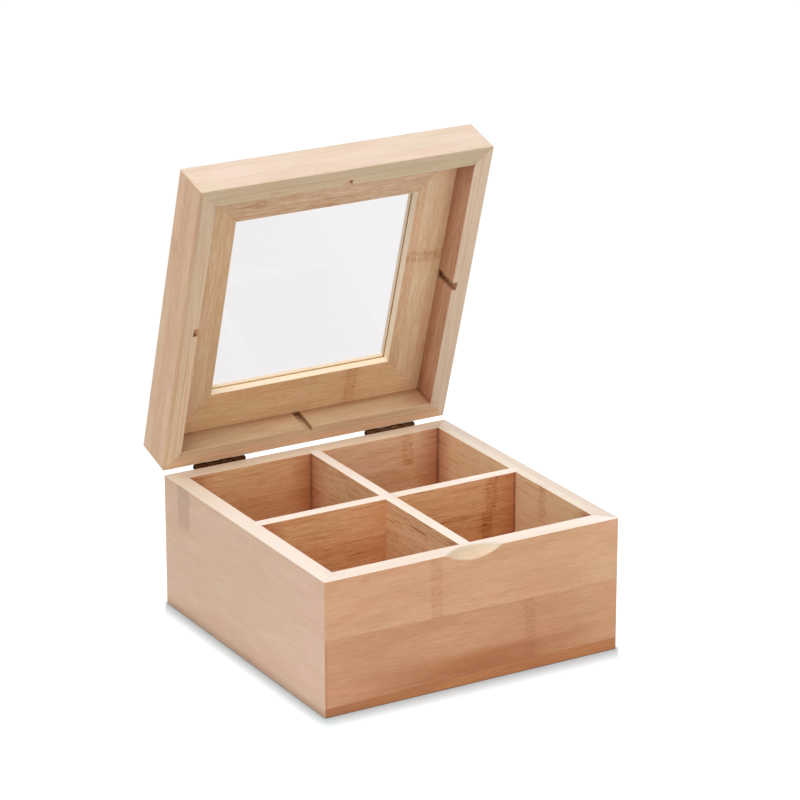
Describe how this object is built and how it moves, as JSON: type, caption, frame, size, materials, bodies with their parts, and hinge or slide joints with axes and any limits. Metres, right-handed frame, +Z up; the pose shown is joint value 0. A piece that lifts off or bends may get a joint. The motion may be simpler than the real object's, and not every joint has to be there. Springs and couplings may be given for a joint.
{
  "type": "tea bag organizer box",
  "caption": "Square bamboo storage box with divided compartments for tea bags and a hinged lid with a clear window.",
  "frame": {"origin": "centre of the square footprint, on the face that the box rests on", "axes": "+X runs to the right along the front, +Y points to the back, where the hinges are, and +Z is up"},
  "size_m": [0.16, 0.1822, 0.2284],
  "materials": {
    "bamboo_walls": "satin",
    "bamboo_inside": "satin",
    "bamboo_lid": "satin",
    "clear_pane": "polished",
    "hinge_bronze": "antique, darkened",
    "screw_steel": "antique, darkened"
  },
  "bodies": {
    "base": {"front_wall": "bamboo_walls", "back_wall": "bamboo_walls", "left_wall": "bamboo_walls", "right_wall": "bamboo_walls", "bottom_panel": "bamboo_inside", "long_divider": "bamboo_inside", "cross_divider": "bamboo_inside", "left_hinge_base_leaf": "hinge_bronze", "right_hinge_base_leaf": "hinge_bronze", "left_hinge_pin": "hinge_bronze", "right_hinge_pin": "hinge_bronze", "left_hinge_base_screws": "screw_steel", "right_hinge_base_screws": "screw_steel"},
    "lid": {"lid_front_rail": "bamboo_lid", "lid_back_rail": "bamboo_lid", "lid_left_rail": "bamboo_lid", "lid_right_rail": "bamboo_lid", "window_frame_front": "bamboo_lid", "window_frame_back": "bamboo_lid", "window_frame_left": "bamboo_lid", "window_frame_right": "bamboo_lid", "window_pane": "clear_pane", "left_hinge_lid_leaf": "hinge_bronze", "right_hinge_lid_leaf": "hinge_bronze", "left_hinge_lid_screws": "screw_steel", "right_hinge_lid_screws": "screw_steel"}
  },
  "joints": [
    {"name": "lid_hinge", "type": "hinge", "parent": "base", "child": "lid", "pos_m": [0, 0.0815, 0.06765], "axis": [-1, 0, 0], "range_deg": [-73, 107]}
  ]
}
